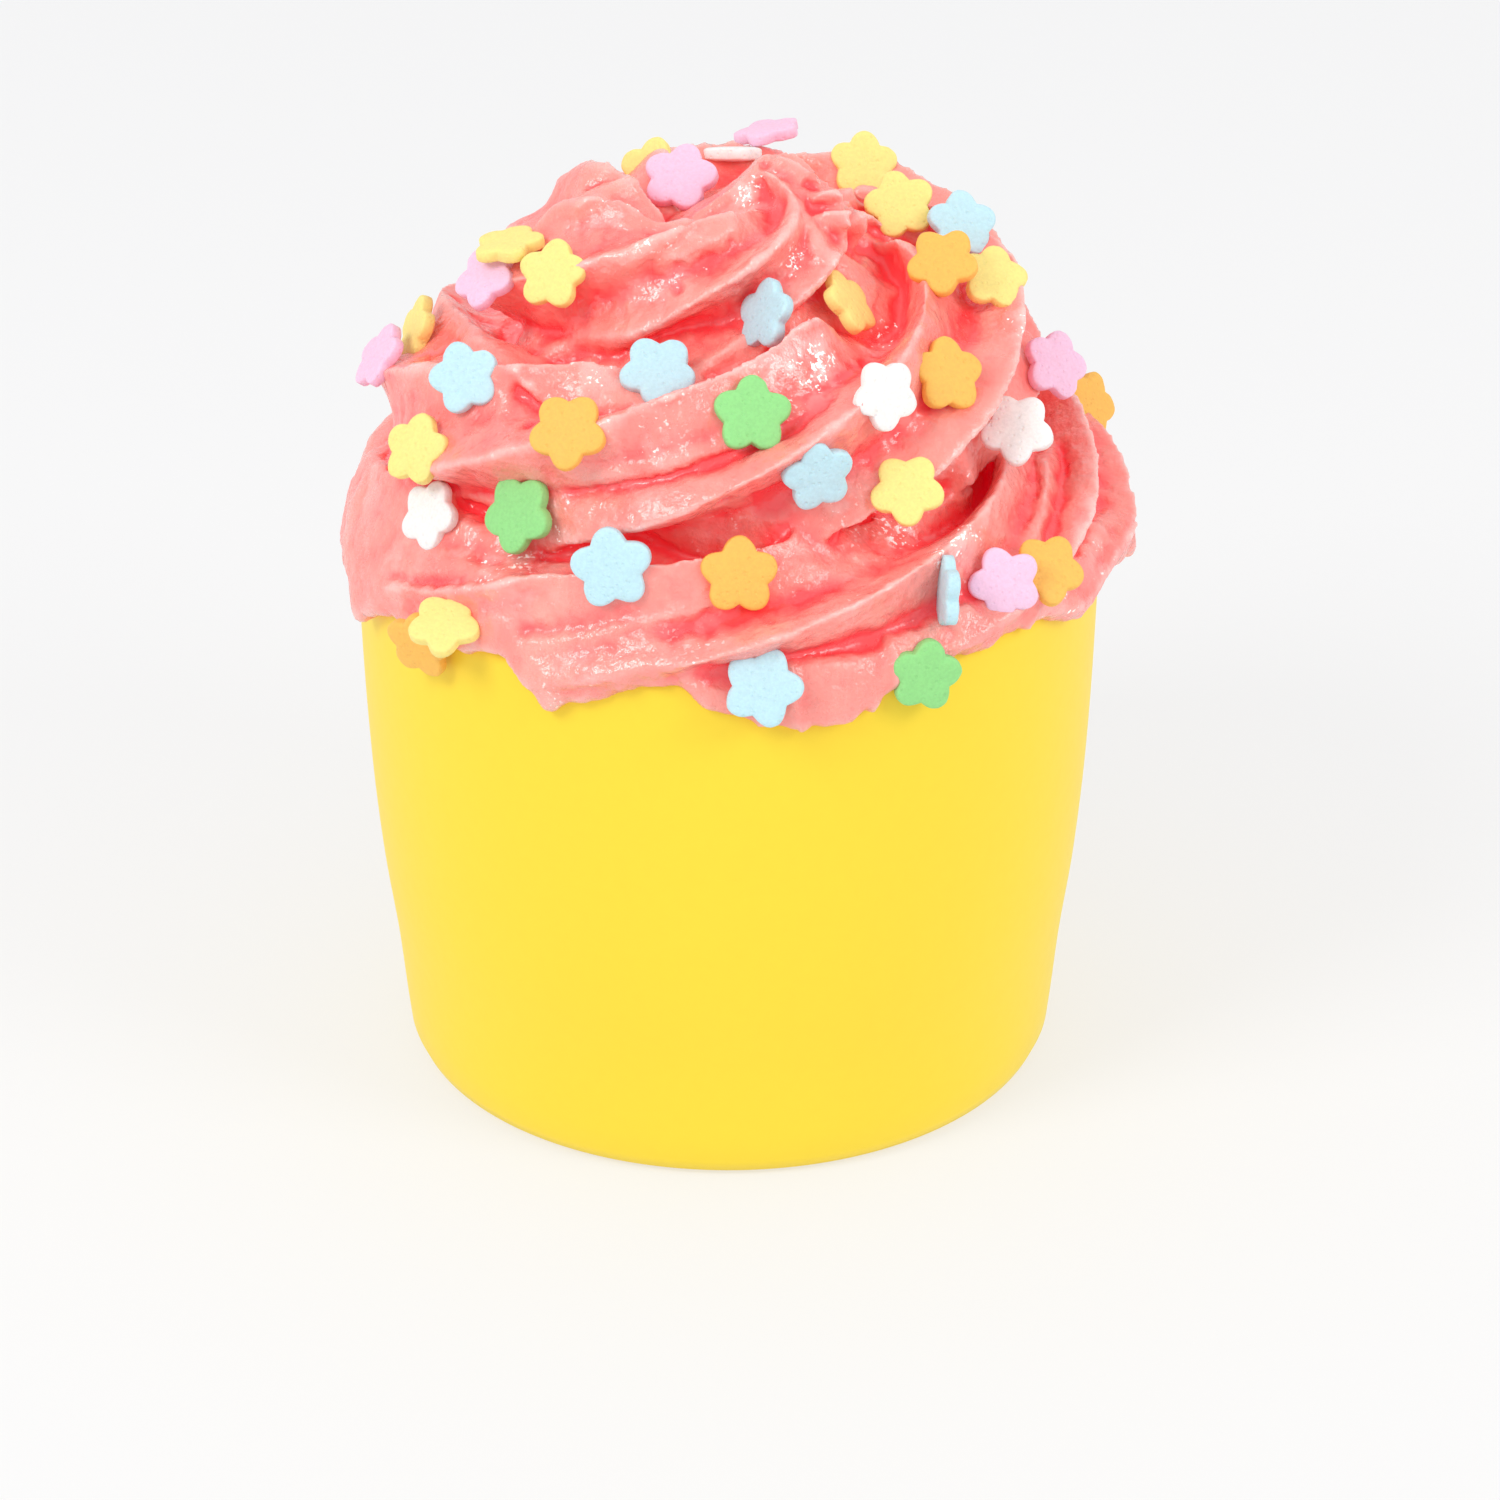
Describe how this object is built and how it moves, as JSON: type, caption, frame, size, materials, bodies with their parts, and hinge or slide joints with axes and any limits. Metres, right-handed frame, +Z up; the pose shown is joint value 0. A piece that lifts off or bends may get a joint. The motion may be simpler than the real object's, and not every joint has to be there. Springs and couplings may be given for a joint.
{
  "type": "cupcake",
  "caption": "Cupcake in a smooth straight-sided baking cup, topped with a tall piped frosting swirl and sugar flower sprinkles.",
  "frame": {"origin": "centre of the flat underside of the baking cup", "axes": "+Z up through the cup's centre to the peak of the frosting, -Y the front, +X to the right seen from the front"},
  "size_m": [0.0669, 0.0678, 0.0776],
  "materials": {
    "cup_card": "smooth satin",
    "sponge": "matte, porous crumb",
    "buttercream": "soft and moist, with small glints",
    "sugar_pink": "pressed sugar",
    "sugar_yellow": "pressed sugar",
    "sugar_blue": "pressed sugar",
    "sugar_orange": "pressed sugar",
    "sugar_green": "pressed sugar",
    "sugar_white": "pressed sugar"
  },
  "bodies": {
    "root": {"baking_cup": "cup_card", "cake": "sponge", "frosting": "buttercream"}
  },
  "joints": []
}
